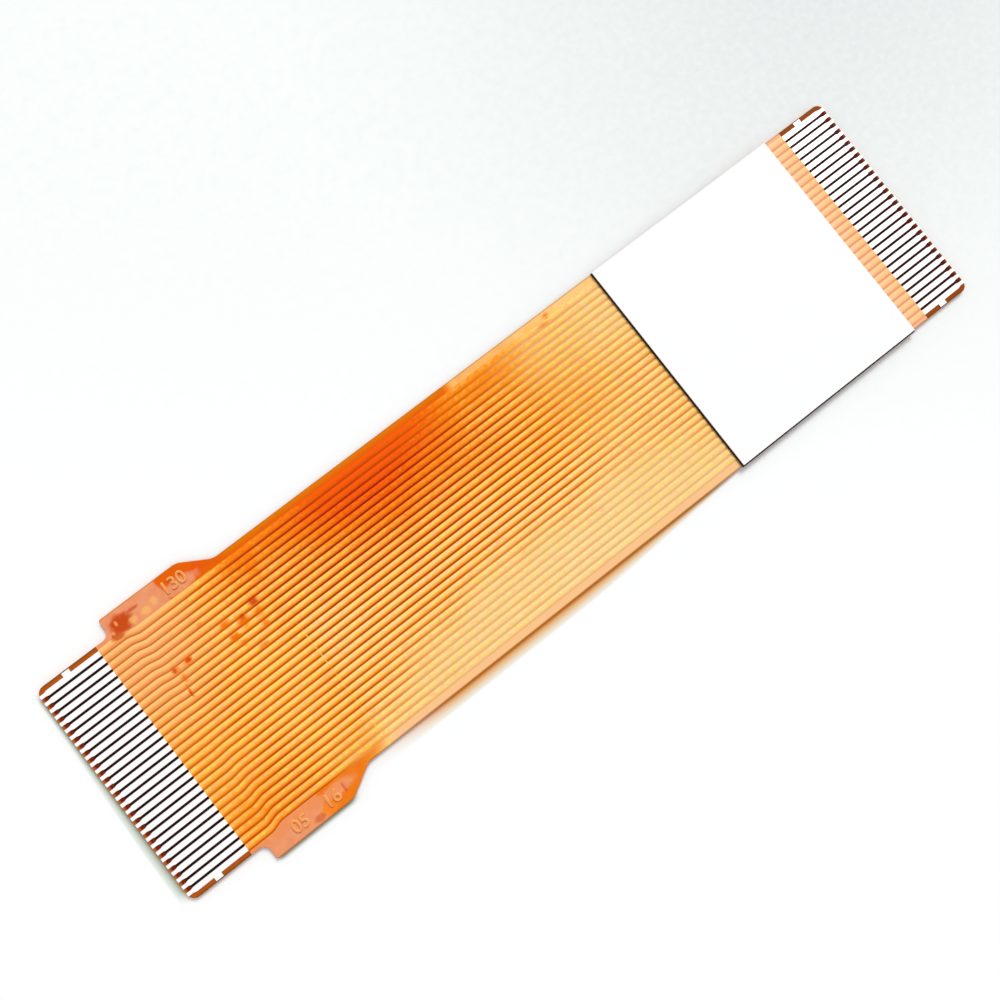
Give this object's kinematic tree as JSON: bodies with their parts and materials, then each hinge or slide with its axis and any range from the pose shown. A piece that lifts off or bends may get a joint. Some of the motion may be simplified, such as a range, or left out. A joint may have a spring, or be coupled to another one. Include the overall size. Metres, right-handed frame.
{
  "type": "flat flex cable",
  "caption": "Amber flat flex cable: side-by-side copper conductors under a ridged cover film, bare contact fingers at both ends, two ears and a white-lined adhesive pad.",
  "frame": {"origin": "under the middle of the cable's length and width, in the plane of the stiffeners' backs", "axes": "+X along the cable away from the end with the ears, +Y across it, +Z out of the contact face"},
  "size_m": [0.0616, 0.0178, 0.0005],
  "materials": {
    "base_polyimide": "clear amber polyimide film",
    "cover_polyimide": "satin amber polyimide cover film",
    "stiffener_film": "thick amber polyimide, smooth",
    "bonding_adhesive": "cured bonding sheet",
    "copper": "etched copper foil",
    "tin_plating": "bright tin plating",
    "tape_adhesive": "dark double-sided adhesive tape",
    "liner_paper": "smooth white siliconised paper"
  },
  "bodies": {
    "root": {"stiffener_left": "stiffener_film", "stiffener_bond_left": "bonding_adhesive", "stiffener_right": "stiffener_film", "stiffener_bond_right": "bonding_adhesive", "base_film": "base_polyimide", "contact_plating_left": "tin_plating", "contact_plating_right": "tin_plating", "coverlay": "cover_polyimide", "adhesive_tape": "tape_adhesive", "release_liner": "liner_paper", "trace_01": "copper", "trace_02": "copper", "trace_03": "copper", "trace_04": "copper", "trace_05": "copper", "trace_06": "copper", "trace_07": "copper", "trace_08": "copper", "trace_09": "copper", "trace_10": "copper", "trace_11": "copper", "trace_12": "copper", "trace_13": "copper", "trace_14": "copper", "trace_15": "copper", "trace_16": "copper", "trace_17": "copper", "trace_18": "copper", "trace_19": "copper", "trace_20": "copper", "trace_21": "copper", "trace_22": "copper", "trace_23": "copper", "trace_24": "copper", "trace_25": "copper", "trace_26": "copper", "trace_27": "copper", "trace_28": "copper", "trace_29": "copper", "trace_30": "copper"}
  },
  "joints": []
}
